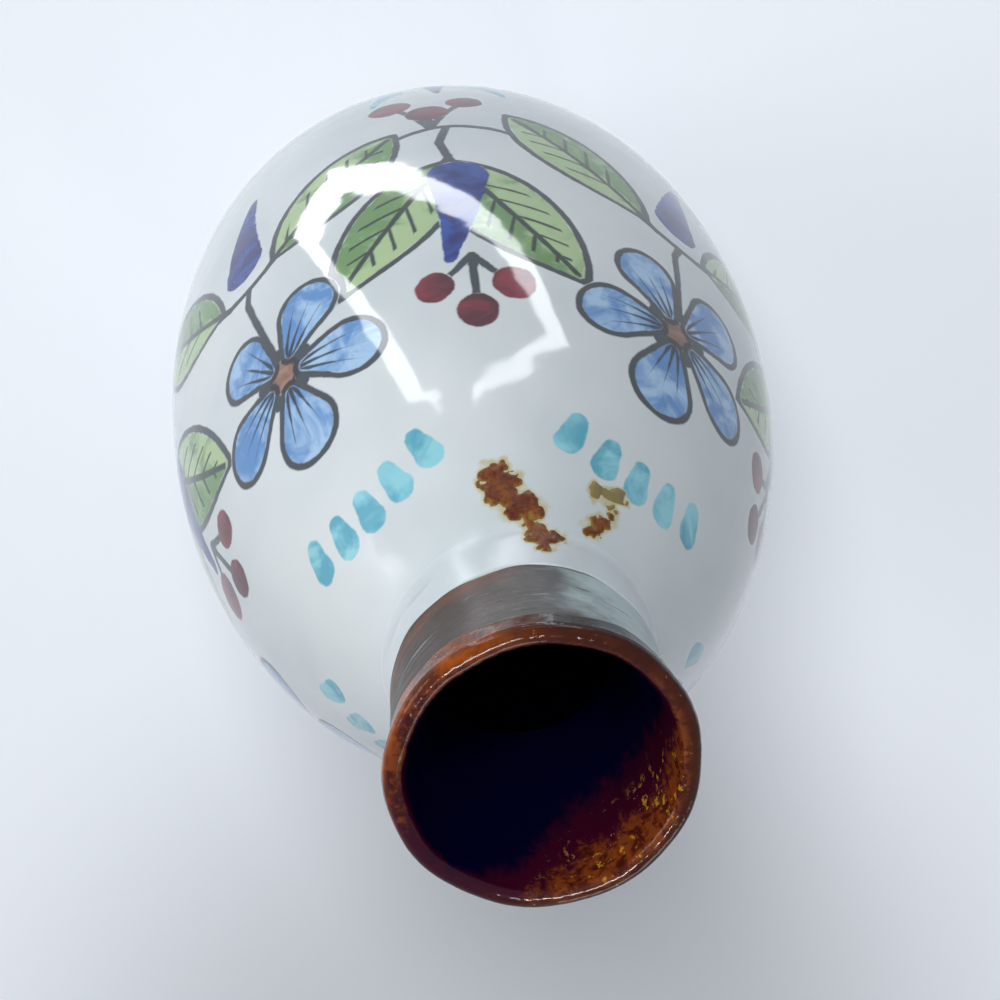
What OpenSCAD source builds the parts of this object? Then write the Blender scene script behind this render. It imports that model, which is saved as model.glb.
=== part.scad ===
// Stoneware bud vase: egg-shaped body, waisted neck, rolled lip and trimmed foot ring.
// The foot stands on z = 0 and the turning axis is z. The decorated front faces -Y.

/* [Foot] */
// Outer diameter of the foot ring where it meets the bowl
foot_d = 37; // [28:1:46]
// Width of the foot ring where it meets the bowl
foot_w = 4.2; // [3.4:0.2:6]
// Height of the foot ring
foot_h = 2.5; // [1.5:0.5:5]
// Draft of both sides of the foot ring, measured at its lower edge
foot_draft = 0.5; // [0.2:0.1:0.6]
// Rounding of the foot ring's lower edges
foot_round = 0.7; // [0.2:0.1:0.8]
// How far the bowl stands out past the foot ring
foot_inset = 0.8; // [0.4:0.1:2]

/* [Body] */
// Widest diameter, over the glaze
belly_d = 66; // [58:1:85]
// Height from the foot ring to the widest line
bowl_h = 43; // [30:0.5:55]
// Height from the widest line to the root of the neck
dome_h = 55.5; // [42:0.5:75]
// Fullness of the bowl's curve, where 2 is an ellipse
bowl_fullness = 2.3; // [1.8:0.1:3]
// Thickness of the clay wall
wall = 4; // [2.8:0.2:6]
// Thickness of the clay floor
floor_t = 5; // [3:0.5:8]

/* [Neck] */
// Narrowest diameter of the neck, over the glaze
neck_d = 25.4; // [21:0.2:27]
// Height from the root of the neck to the top of the lip
neck_h = 26; // [20:0.5:35]
// Height of the narrowest line above the root of the neck
waist_h = 10; // [6:0.5:14]
// Thickness of the clay in the neck
neck_wall = 2.2; // [1.8:0.2:4]
// Reach of the soft curve that runs the dome into the neck
neck_blend = 10; // [5:0.5:14]

/* [Lip] */
// Diameter of the lip, over the glaze
lip_d = 28.4; // [27:0.2:34]
// Thickness of the lip, over the glaze
lip_t = 1.9; // [1.6:0.1:3.6]
// Height of the coil that is rolled into the lip
lip_h = 4; // [2.5:0.5:4.5]

/* [Glaze] */
// Thickness of the glaze outside and on the lip
glaze_t = 0.4; // [0.2:0.05:0.8]
// Thickness of the glaze inside
lining_t = 0.4; // [0.2:0.05:0.8]
// Bare clay left above the foot ring
bare_h = 1.2; // [0.6:0.2:4]
// Height of the iron band, from its lower edge to the top of the lip
band_h = 15.5; // [9:0.5:17.5]
// How far the lip's glaze runs down inside the mouth
dip_h = 7; // [5:0.5:12]

/* [Luted joints] */
// Width of the slip bead in each scored joint
slip_w = 1.2; // [0.6:0.1:1.8]
// Height of the slip bead in each scored joint
slip_h = 1.6; // [0.8:0.1:3]

/* [Iron runs] */
// Height of the iron runs' crust above the glaze
run_t = 0.25; // [0.1:0.05:0.6]
// Length of the large run
run_l = 10.5; // [6:0.5:14]
// Width of the large run
run_w = 6.5; // [3:0.5:8]
// Height of the large run's middle above the root of the neck
run_rise = 2.2; // [-8:0.2:4]
// Direction of the large run round the body, from the front towards +X
run_turn = -11; // [-90:1:90]
// Length of the small run
dab_l = 4.6; // [2:0.2:8]
// Width of the small run
dab_w = 3; // [1:0.2:5]
// Height of the small run's middle above the root of the neck
dab_rise = 0.2; // [-8:0.2:6]
// Direction of the small run round the body, from the front towards +X
dab_turn = -43; // [-120:1:90]

/* [Hidden] */
$fn = 96;

clay_color = "#cbb89a";
slip_color = "#ddd0b6";
white_glaze_color = "#d3d9da";
band_color = "#6e6661";
lip_color = "#8c4b1d";
lining_color = "#3b170d";
run_color = "#84431a";

// Heights of the joints and glaze lines
foot_top = foot_h;
bare_top = foot_top + bare_h;
floor_z = foot_top + floor_t;
belly_z = foot_top + bowl_h;
root_z = belly_z + dome_h;
waist_z = root_z + waist_h;
top_z = root_z + neck_h;
lip_z = top_z - lip_t / 2;
lip_base = top_z - lip_h;
band_base = top_z - band_h;
dip_base = top_z - dip_h;

// Radii of the clay under its glaze
foot_r = foot_d / 2;
belly_r = belly_d / 2 - glaze_t;
waist_r = neck_d / 2 - glaze_t;
flare = (lip_d - neck_d) / 2;
lip_clay_t = lip_t - 2 * glaze_t;
lip_mid_r = (lip_d - lip_t) / 2;

// Half heights of the egg: the bowl's reaches the foot, the dome's reaches the neck
base_share = (foot_r + foot_inset) / belly_r;
bowl_drop = bowl_h / pow(1 - pow(base_share, bowl_fullness), 1 / bowl_fullness);
dome_rise = dome_h / sqrt(1 - pow(waist_r / belly_r, 2));

function soft_max(a, b, reach) = max(a, b) + pow(max(reach - abs(a - b), 0), 2) / (4 * reach);
function bowl_r(z, r, drop) =
    r * pow(max(0, 1 - pow((belly_z - z) / drop, bowl_fullness)), 1 / bowl_fullness);
function dome_r(z, r, rise) = r * sqrt(max(0, 1 - pow((z - belly_z) / rise, 2)));

// Neck: flares upwards to the lip, and eases back out below the waist
function waist_share(z) = (z - waist_z) / (lip_z - waist_z);
function flare_share(u) = u > 0 ? u * u : u * u / (1 + u * u);
function neck_r(z) = waist_r + flare * flare_share(waist_share(z));
function neck_t(z) = neck_wall + (lip_clay_t - neck_wall) * max(0, waist_share(z));

// Radius of the outside at a height, lifted off the clay by a coat
function outer_r(z, coat) = z < belly_z
    ? bowl_r(z, belly_r + coat, bowl_drop + coat)
    : soft_max(dome_r(z, belly_r + coat, dome_rise + coat), neck_r(z) + coat, neck_blend);

// Radius of the hollow at a height, narrowed by a coat
function hollow_r(z, coat) = z < belly_z
    ? bowl_r(z, belly_r - wall - coat, belly_z - floor_z - coat)
    : soft_max(
        dome_r(z, belly_r - wall - coat, dome_rise - wall - coat),
        neck_r(z) - neck_t(z) - coat,
        neck_blend
    );

// Heights at which each stretch of the contour is drawn, so that neighbours share every point
function even(z0, z1, n) = [for (i = [0:n]) z0 + (z1 - z0) * i / n];
function swelling(z0, z1, n) = [for (i = [0:n]) z1 - (z1 - z0) * cos(90 * i / n)];
function closing(z0, z1, n) = [for (i = [0:n]) z0 + (z1 - z0) * sin(90 * i / n)];
bare_zs = even(foot_top, bare_top, 2);
bowl_zs = swelling(bare_top, belly_z, 18);
dome_zs = closing(belly_z, root_z, 22);
neck_zs = even(root_z, band_base, 8);
band_zs = even(band_base, lip_base, 6);
lip_zs = even(lip_base, lip_z, 4);
throat_zs = even(root_z, dip_base, 10);
dip_zs = even(dip_base, lip_base, 3);

function outside(zs, coat) = [for (z = zs) [outer_r(z, coat), z]];
function inside(zs, coat) = [for (z = zs) [hollow_r(z, coat), z]];
function cavity_zs(coat) = swelling(floor_z + coat, belly_z, 18);
function reversed(list) = [for (i = [len(list) - 1:-1:0]) list[i]];

// Round top of the lip, from its outer side over to its inner side
function lip_arc(r) = [for (a = [15:15:165]) [lip_mid_r + r * cos(a), lip_z + r * sin(a)]];

// Diamond of slip half in each edge of a joint, and the notch that it leaves in one edge
function bead(r, z) = [
    [r - slip_w / 2, z], [r, z - slip_h / 2], [r + slip_w / 2, z], [r, z + slip_h / 2]
];
function notch(r, z, side) = [
    [r + slip_w / 2, z], [r, z + side * slip_h / 2], [r - slip_w / 2, z]
];
belly_joint_r = belly_r - wall / 2;
neck_joint_r = (outer_r(root_z, 0) + hollow_r(root_z, 0)) / 2;

module turned(points) {
    rotate_extrude() polygon(points);
}

// A coat between two contours that run the same way
module coat(face, surface) {
    turned(concat(face, reversed(surface)));
}

module foot_ring() {
    outer = foot_r - foot_draft;
    inner = foot_r - foot_w + foot_draft;
    rounding = [for (a = [0:15:90]) foot_round * [1 - cos(a), 1 - sin(a)]];
    color(clay_color) turned(concat(
        [[foot_r - foot_w, foot_top], [foot_r, foot_top]],
        [for (p = rounding) [outer - p[0], p[1]]],
        [for (p = reversed(rounding)) [inner + p[0], p[1]]]
    ));
}

module lower_bowl() {
    color(clay_color) turned(concat(
        [[0, foot_top]],
        outside(concat(bare_zs, bowl_zs), 0),
        notch(belly_joint_r, belly_z, -1),
        reversed(inside(cavity_zs(0), 0))
    ));
}

module belly_slip() {
    color(slip_color) turned(bead(belly_joint_r, belly_z));
}

module upper_dome() {
    color(clay_color) turned(concat(
        outside(dome_zs, 0),
        notch(neck_joint_r, root_z, -1),
        reversed(inside(dome_zs, 0)),
        reversed(notch(belly_joint_r, belly_z, 1))
    ));
}

module neck_slip() {
    color(slip_color) turned(bead(neck_joint_r, root_z));
}

module neck_collar() {
    color(clay_color) turned(concat(
        outside(concat(neck_zs, band_zs), 0),
        reversed(inside(concat(throat_zs, dip_zs), 0)),
        reversed(notch(neck_joint_r, root_z, 1))
    ));
}

module lip_roll() {
    color(clay_color) turned(concat(
        outside(lip_zs, 0),
        lip_arc(lip_clay_t / 2),
        reversed(inside(lip_zs, 0))
    ));
}

module body_glaze() {
    zs = concat(bowl_zs, dome_zs, neck_zs);
    color(white_glaze_color) coat(outside(zs, 0), outside(zs, glaze_t));
}

module iron_band() {
    color(band_color) coat(outside(band_zs, 0), outside(band_zs, glaze_t));
}

module lip_glaze() {
    inner_zs = reversed(concat(dip_zs, lip_zs));
    color(lip_color) coat(
        concat(outside(lip_zs, 0), lip_arc(lip_clay_t / 2), inside(inner_zs, 0)),
        concat(outside(lip_zs, glaze_t), lip_arc(lip_t / 2), inside(inner_zs, glaze_t))
    );
}

module lining_glaze() {
    upper_zs = concat(dome_zs, throat_zs);
    color(lining_color) coat(
        inside(concat(cavity_zs(0), upper_zs), 0),
        inside(concat(cavity_zs(lining_t), upper_zs), lining_t)
    );
}

// A blot of overlapping rounds, seen from outside. Each round is [across, up, radius]:
// across is a share of the blot's width, and the others are shares of its length.
module blot(turn, height, width, length, rounds) {
    rotate([0, 0, turn]) translate([0, 0, height]) rotate([90, 0, 0])
        for (p = rounds)
            translate([p[0] * width, p[1] * length, 0]) cylinder(r = p[2] * length, h = belly_d);
}

module iron_runs() {
    zs = concat(dome_zs, neck_zs);
    large = [
        [0.22, -0.33, 0.17], [0, -0.12, 0.14], [-0.2, 0.02, 0.13],
        [-0.38, 0.1, 0.09], [0.02, 0.14, 0.1], [-0.08, 0.34, 0.16]
    ];
    small = [
        [0.1, -0.36, 0.14], [-0.22, -0.28, 0.18], [-0.3, 0, 0.18],
        [-0.12, 0.26, 0.18], [0.24, 0.34, 0.16]
    ];
    color(run_color) intersection() {
        coat(outside(zs, glaze_t), outside(zs, glaze_t + run_t));
        union() {
            blot(run_turn, root_z + run_rise, run_w, run_l, large);
            blot(dab_turn, root_z + dab_rise, dab_w, dab_l, small);
        }
    }
}

foot_ring();
lower_bowl();
belly_slip();
upper_dome();
neck_slip();
neck_collar();
lip_roll();
body_glaze();
iron_band();
lip_glaze();
lining_glaze();
iron_runs();
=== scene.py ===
import math

import bpy
import numpy as np
from mathutils import Matrix, Vector


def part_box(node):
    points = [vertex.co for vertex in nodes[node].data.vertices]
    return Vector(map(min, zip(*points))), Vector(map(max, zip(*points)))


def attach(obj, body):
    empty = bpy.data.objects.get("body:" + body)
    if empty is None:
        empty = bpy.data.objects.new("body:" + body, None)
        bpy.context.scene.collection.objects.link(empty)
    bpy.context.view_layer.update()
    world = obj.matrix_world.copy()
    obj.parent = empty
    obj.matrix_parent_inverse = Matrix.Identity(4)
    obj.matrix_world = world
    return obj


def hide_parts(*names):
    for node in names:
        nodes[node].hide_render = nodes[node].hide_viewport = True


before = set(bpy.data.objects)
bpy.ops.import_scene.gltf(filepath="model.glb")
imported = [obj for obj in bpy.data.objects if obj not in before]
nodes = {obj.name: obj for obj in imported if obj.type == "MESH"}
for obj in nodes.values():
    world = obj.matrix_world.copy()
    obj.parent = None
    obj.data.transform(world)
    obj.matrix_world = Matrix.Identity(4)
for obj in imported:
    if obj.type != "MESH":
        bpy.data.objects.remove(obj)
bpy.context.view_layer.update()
print("frame loaded:", len(nodes), "nodes")

mm = 0.001
farOff = 9.0  # mm, past the reach of any painted line
tuck = 0.05 * mm  # the backs of the coats lie this far inside the clay
edgeGap = 0.03 * mm  # between the last two rows at an edge, which keeps it crisp

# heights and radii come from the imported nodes
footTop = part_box("foot_ring")[1].z
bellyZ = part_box("lower_bowl")[1].z
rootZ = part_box("upper_dome")[1].z
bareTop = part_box("body_glaze")[0].z
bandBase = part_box("iron_band")[0].z
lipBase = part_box("iron_band")[1].z
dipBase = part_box("lip_glaze")[0].z
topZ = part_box("lip_glaze")[1].z
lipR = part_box("lip_glaze")[1].x
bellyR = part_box("body_glaze")[1].x
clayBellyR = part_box("lower_bowl")[1].x
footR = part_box("foot_ring")[1].x
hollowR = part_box("lining_glaze")[1].x
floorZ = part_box("lining_glaze")[0].z
coat = bellyR - clayBellyR

# how the potter shaped the rest of the contour
throwing = {
    "fullness": 2.3,  # how square the bowl is below the belly
    "footInset": 0.8 * mm,  # bowl past the foot ring
    "waistR": 12.7 * mm,  # narrowest part of the neck, over glaze
    "waistRise": 10 * mm,  # above the root of the neck
    "neckBlend": 10 * mm,  # reach of the soft curve from body to neck
    "neckWall": 2.2 * mm,
    "lipThick": 1.9 * mm,
    "contourSteps": 3000,  # points to measure lengths on
}

waistZ = rootZ + throwing["waistRise"]
lipRoll = throwing["lipThick"] / 2
lipZ = topZ - lipRoll
lipMidR = lipR - lipRoll
waistClayR = throwing["waistR"] - coat
flare = lipR - throwing["waistR"]
lipClay = throwing["lipThick"] - 2 * coat
baseShare = ((footR + throwing["footInset"]) / clayBellyR) ** throwing["fullness"]
bowlDrop = (bellyZ - footTop) / (1 - baseShare) ** (1 / throwing["fullness"])
domeRise = (rootZ - bellyZ) / math.sqrt(1 - (waistClayR / clayBellyR) ** 2)


def softMax(a, b):
    reach = throwing["neckBlend"]
    return np.maximum(a, b) + np.maximum(reach - np.abs(a - b), 0) ** 2 / (4 * reach)


def bowlRadius(z, radius, drop):
    full = throwing["fullness"]
    below = np.maximum(0, (bellyZ - z) / drop)
    return radius * np.maximum(0, 1 - below ** full) ** (1 / full)


def domeRadius(z, radius, rise):
    return radius * np.sqrt(np.maximum(0, 1 - ((z - bellyZ) / rise) ** 2))


def overWaist(z):
    # 0 at the waist and 1 at the lip
    return (z - waistZ) / (lipZ - waistZ)


def neckRadius(z):
    up = overWaist(z)
    return waistClayR + flare * np.where(up > 0, up * up, up * up / (1 + up * up))


def neckThick(z):
    return throwing["neckWall"] + (lipClay - throwing["neckWall"]) * np.maximum(0, overWaist(z))


def outside(z, cover=0.0):
    bowl = bowlRadius(z, clayBellyR + cover, bowlDrop + cover)
    dome = domeRadius(z, clayBellyR + cover, domeRise + cover)
    return np.where(z < bellyZ, bowl, softMax(dome, neckRadius(z) + cover))


def inside(z, cover=0.0):
    bowl = bowlRadius(z, hollowR - cover, bellyZ - floorZ - cover)
    dome = domeRadius(z, hollowR - cover, domeRise - (clayBellyR - hollowR) - cover)
    neck = neckRadius(z) - neckThick(z) - cover
    return np.where(z < bellyZ, bowl, softMax(dome, neck))


contourZ = np.linspace(footTop, lipZ, throwing["contourSteps"])
contourR = outside(contourZ, coat)
contourLength = np.concatenate([[0], np.cumsum(np.hypot(np.diff(contourZ), np.diff(contourR)))])


def lengthAt(z):
    # from the foot up along the outside
    return np.interp(z, contourZ, contourLength)


def evenHeights(low, high, count):
    return np.interp(np.linspace(lengthAt(low), lengthAt(high), count), contourLength, contourZ)


# turn 0 is the front, at -Y, and grows towards +X
def ringTurns(columns):
    return np.arange(columns)[None, :] * 2 * math.pi / columns


def mottle(x, y, seed, wrap=0):
    # smooth random field from -1 to 1; wrap closes it after that many cells in x
    cells = 256
    table = np.random.default_rng(seed).uniform(-1, 1, (cells, cells))
    x0, y0 = np.floor(x).astype(int), np.floor(y).astype(int)
    fx, fy = x - x0, y - y0
    fx, fy = fx * fx * (3 - 2 * fx), fy * fy * (3 - 2 * fy)
    period = wrap or cells
    left, right = x0 % period % cells, (x0 + 1) % period % cells
    low, high = y0 % cells, (y0 + 1) % cells
    bottom = table[left, low] * (1 - fx) + table[right, low] * fx
    top = table[left, high] * (1 - fx) + table[right, high] * fx
    return bottom * (1 - fy) + top * fy


hand = {
    "throwLine": 0.003 * mm,  # spiral left by the fingers
    "throwPitch": 0.62 * mm,  # its rise for each radian
    "oval": 0.08 * mm,
    "ovalRise": 50 * mm,  # height that shifts its wave by a radian
    "threeRise": 31 * mm,  # the same for a weaker three-sided wave
    "dent": 0.03 * mm,  # soft unevenness of body and glaze
    "dentCells": 34,  # round the body
    "dentRise": 6.2 * mm,
}


def handWobble(turn, z):
    spiral = hand["throwLine"] * np.sin(z / hand["throwPitch"] + turn)
    twoSided = np.sin(2 * turn + 0.7 + z / hand["ovalRise"])
    threeSided = np.sin(3 * turn - 1.1 + z / hand["threeRise"])
    cells = hand["dentCells"]
    x, y = turn * cells / (2 * math.pi), z / hand["dentRise"]
    dent = mottle(x, y, 3, cells) + 0.5 * mottle(x * 2, y * 2, 4, 2 * cells)
    dent = dent + 0.12 * mottle(x * 4, y * 4, 6, 4 * cells)
    return spiral + hand["oval"] * (twoSided + 0.5 * threeSided) + hand["dent"] * dent


def around(radius, z, turn):
    turn = np.broadcast_to(turn, radius.shape)
    z = np.broadcast_to(z, radius.shape)
    return np.stack([radius * np.sin(turn), -radius * np.cos(turn), z], axis=-1)


def addMesh(name, points, faces):
    mesh = bpy.data.meshes.new(name)
    mesh.from_pydata(points, [], faces)
    made = bpy.data.objects.new(name, mesh)
    bpy.context.scene.collection.objects.link(made)
    return made


def addPiece(name, points, quads, fields=None):
    piece = addMesh(name, points.tolist(), quads.tolist())
    mesh = piece.data
    mesh.polygons.foreach_set("use_smooth", [True] * len(mesh.polygons))
    for key, values in (fields or {}).items():
        layer = mesh.attributes.new(key, "FLOAT", "POINT")
        layer.data.foreach_set("value", np.ascontiguousarray(values, np.float32).ravel())
    mesh.update()
    return piece


def addGrid(name, points, fields=None):
    # points: rows x columns x 3, closed both ways, wound so that faces look out
    rows, columns = points.shape[:2]
    index = np.arange(rows * columns).reshape(rows, columns)
    right = np.roll(index, -1, axis=1)
    quads = np.stack([index, right, np.roll(right, -1, axis=0), np.roll(index, -1, axis=0)], axis=-1)
    return addPiece(name, points.reshape(-1, 3), quads.reshape(-1, 4), fields)


# small node helpers
def feed(made, inputs):
    for key, value in inputs.items():
        if isinstance(value, bpy.types.NodeSocket):
            made.id_data.links.new(value, made.inputs[key])
        else:
            made.inputs[key].default_value = value


def add(tree, kind, inputs=None, settings=None):
    made = tree.nodes.new("ShaderNode" + kind)
    for key, value in (settings or {}).items():
        setattr(made, key, value)
    feed(made, inputs or {})
    return made


def tone(code):
    parts = [int(code[i:i + 2], 16) / 255 for i in (0, 2, 4)]
    return tuple(c / 12.92 if c <= 0.04045 else ((c + 0.055) / 1.055) ** 2.4 for c in parts) + (1.0,)


def blendTones(amount, low, high):
    low, high = (tone(c) if isinstance(c, str) else c for c in (low, high))
    return add(amount.id_data, "Mix", {0: amount, 6: low, 7: high}, {"data_type": "RGBA"}).outputs[2]


def maths(operation, a, b=0.0):
    tree = (a if isinstance(a, bpy.types.NodeSocket) else b).id_data
    return add(tree, "Math", {0: a, 1: b}, {"operation": operation}).outputs[0]


def plus(a, b):
    return maths("ADD", a, b)


def less(a, b):
    return maths("SUBTRACT", a, b)


def times(a, b):
    return maths("MULTIPLY", a, b)


def sway(noise, amount):
    # noise about its middle
    return times(less(noise, 0.5), amount)


def span(value, low, high, lowTo=0.0, highTo=1.0):
    inputs = {"Value": value, "From Min": low, "From Max": high, "To Min": lowTo, "To Max": highTo}
    return add(value.id_data, "MapRange", inputs, {"interpolation_type": "SMOOTHSTEP"}).outputs[0]


def place(tree):
    return add(tree, "TexCoord").outputs["Object"]


def axis(tree, letter):
    return add(tree, "SeparateXYZ", {0: place(tree)}).outputs[letter]


def grain(tree, size, detail=3, rough=0.55, warp=0.0, squash=None):
    spot = place(tree)
    if squash:
        spot = add(tree, "Mapping", {"Vector": spot, "Scale": squash}).outputs[0]
    inputs = {"Vector": spot, "Scale": 1 / size, "Detail": detail, "Roughness": rough, "Distortion": warp}
    return add(tree, "TexNoise", inputs).outputs["Fac"]


def field(tree, name):
    return add(tree, "Attribute", None, {"attribute_name": name}).outputs["Fac"]


def newMaterial(name):
    material = bpy.data.materials.new(name)
    material.use_nodes = True
    return material, material.node_tree


def finish(name, look, mix):
    # mix lays out the nodes and gives back colour, roughness and relief
    material, tree = newMaterial(name)
    shader = tree.nodes["Principled BSDF"]
    colour, dull, relief = mix(tree, look)
    strength, depth = look["bump"]
    bump = add(tree, "Bump", {"Height": relief, "Strength": strength, "Distance": depth})
    feed(shader, {"Base Color": colour, "Roughness": dull, "Normal": bump.outputs[0]})
    if "shine" in look:
        feed(shader, {"Specular IOR Level": look["shine"]})
    return material


def wear(piece, material):
    piece.data.materials.clear()
    piece.data.materials.append(material)


def dress(piece, look, mix, slot, *replaced):
    wear(piece, finish(slot, look, mix))
    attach(piece, "root")
    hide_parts(*replaced)


# painted body glaze: the layout, in mm on the body and degrees
plan = {
    "seed": 5,
    "repeats": 4,
    "turn": 38,  # from the front to the first blossom
    "tilt": 8,  # most that a repeat leans
    "stemZ": 53,  # middle height of the winding stem
    "stemSwing": 8,
    "blossomRise": 17,  # from the stem to the blossom's centre
    "blossomShift": 0.8,  # most that a blossom sits too high or low
    "stalkBend": (0.8, 2.5),
    "stalkShort": 3,  # the stalk ends this far from the centre
    "petals": 5,
    "petalSizes": (0.92, 1.06),
    "petalFoot": 2.6,  # from the centre to its narrow end
    "petalFootRound": 1.1,
    "petalReach": 8.4,  # from the centre to the middle of its round end
    "petalRound": 3.7,
    "eye": 2.1,
    "notch": 4.0,  # how far out the ink goes between the petals
    "leafLong": 24,
    "leafWide": 10.4,
    "leafGap": 1.2,  # from the stem to the leaf
    "leafClear": 0.8,  # between a leaf and a petal
    "leafStalk": ((0, -0.4), (0, 3)),
    # turn from the crest or trough, lean, shares of length and width, curl
    "hangingLeaves": ((-5, 224, 0.92, 1, 0.2), (6, 138, 1, 0.95, -0.18)),
    "risingLeaves": ((1, -30, 1.04, 1.04, 0.16), (1, 31, 1, 1, -0.16)),
    "risingDrop": 3.2,  # rising leaves start this far under the bud
    "sprigRise": 12.5,  # from the stem to the foot of a bud
    "sprigBend": (1.2, 5),
    # length, fatness, curl
    "hangingBud": (14, 2.9, 0.1),
    "risingBud": (16, 3.3, 0.1),
    "hangingGap": 5.5,  # from the stem down to the hanging bud
    "risingGap": 1.4,
    "budTip": 0.2,  # share of its fatness
    # colour, turn from the trough, height, lean, length, fatness, curl
    "lowSprig": (
        ("turquoise", -9, 25, -28, 7, 1.4, 0.15),
        ("turquoise", 9, 25, 28, 7, 1.4, -0.15),
        ("cobalt", 0, 22, 0, 8, 1.4, 0),
    ),
    "berry": 2.3,
    "berrySizes": (0.9, 1.12),
    "berryRise": 17,  # from the bud's foot to the upper berries' joint
    "upperBerries": ((-3.8, 4.6), (0.2, 8.4), (4.1, 4.2)),
    "lowerBerries": ((0, -6.0), (-4.3, -9.5), (3.9, -10.5)),
    "lowerTurn": 3,
    "drops": 5,  # turquoise drops in an arc on the shoulder
    "dropZ": 95.5,
    "dropStep": 11,
    "dropSag": 0.5,
    "dropLean": 9,
    "dropShape": (1.0, 1.5, 2.6),  # rounds of foot and head, length between them
    "borderZ": 12.5,  # plain line over the foot
    "borderHalf": 0.55,
    "scallopZ": 16.2,
    "scallops": 28,
    "scallopRise": 1.5,
    "scallopHalf": 0.5,
    # half widths of a stroke's start and end
    "leafPen": (0.5, 0.44),
    "blossomPen": (0.48, 0.44),
    "sprigPen": (0.5, 0.46),
    "berryPen": (0.44, 0.4),
}

glazeLook = {
    "columns": 440, "rows": 196, "backRows": 16, "edgeRows": 7,
    "dripWave": 0.35 * mm,  # waviness of the glaze line over the foot
    "dripFade": 5 * mm,
    # underglaze colours in the order they are laid on: pale, deep, cover, inset in mm
    "pigments": {
        "turquoise": ("86CBD8", "3F9DB6", 0.92, 0.0),
        "petal": ("9DBFE0", "4A82BF", 0.94, 0.3),
        "leaf": ("A3BE8B", "5F8A4C", 0.95, 0.4),
        "cobalt": ("14459C", "070C66", 0.98, 0.0),
        "maroon": ("7E1A30", "46081C", 0.97, 0.0),
        "umber": ("9B6E58", "704A3A", 0.92, 0.0),
    },
    "white": "D2D9DB", "cool": "C2CCCF", "ink": "1F2A33", "stain": "B4A45C",
    "cloud": 22 * mm,  # sizes of the mottling
    "wash": 4.5 * mm,
    "fine": 1.6 * mm,
    "peel": 2.6 * mm,
    "ragged": 0.55,  # mm, unevenness of painted edges
    "soft": 0.14,  # mm, their softness
    # ink lines in mm: half widths, and insets in their leaf or petal
    "stemLine": 0.46,
    "leafLine": 0.4,
    "petalLine": 0.36,
    "ribLine": 0.36,
    "ribInset": 0.7,
    "veinLine": 0.2,
    "veinInset": 1.6,
    "veinStep": 3.6,
    "veinSlope": 1.15,
    "veinThin": 0.66,
    "streakLine": 0.4,
    "streakInset": 0.5,
    "streakTaper": 0.05,
    "streakFan": 0.22,
    "inkSoft": 0.13,
    "inkCover": 0.94,
    "haloReach": 0.75,  # mm, iron stain round the runs
    "haloCover": 0.7,
    "roughness": (0.07, 0.3),
    "bump": (0.05, 0.2 * mm),  # strength and depth
}

guides = ("stem", "leafAcross", "leafUp", "petalAcross", "petalUp")


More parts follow.
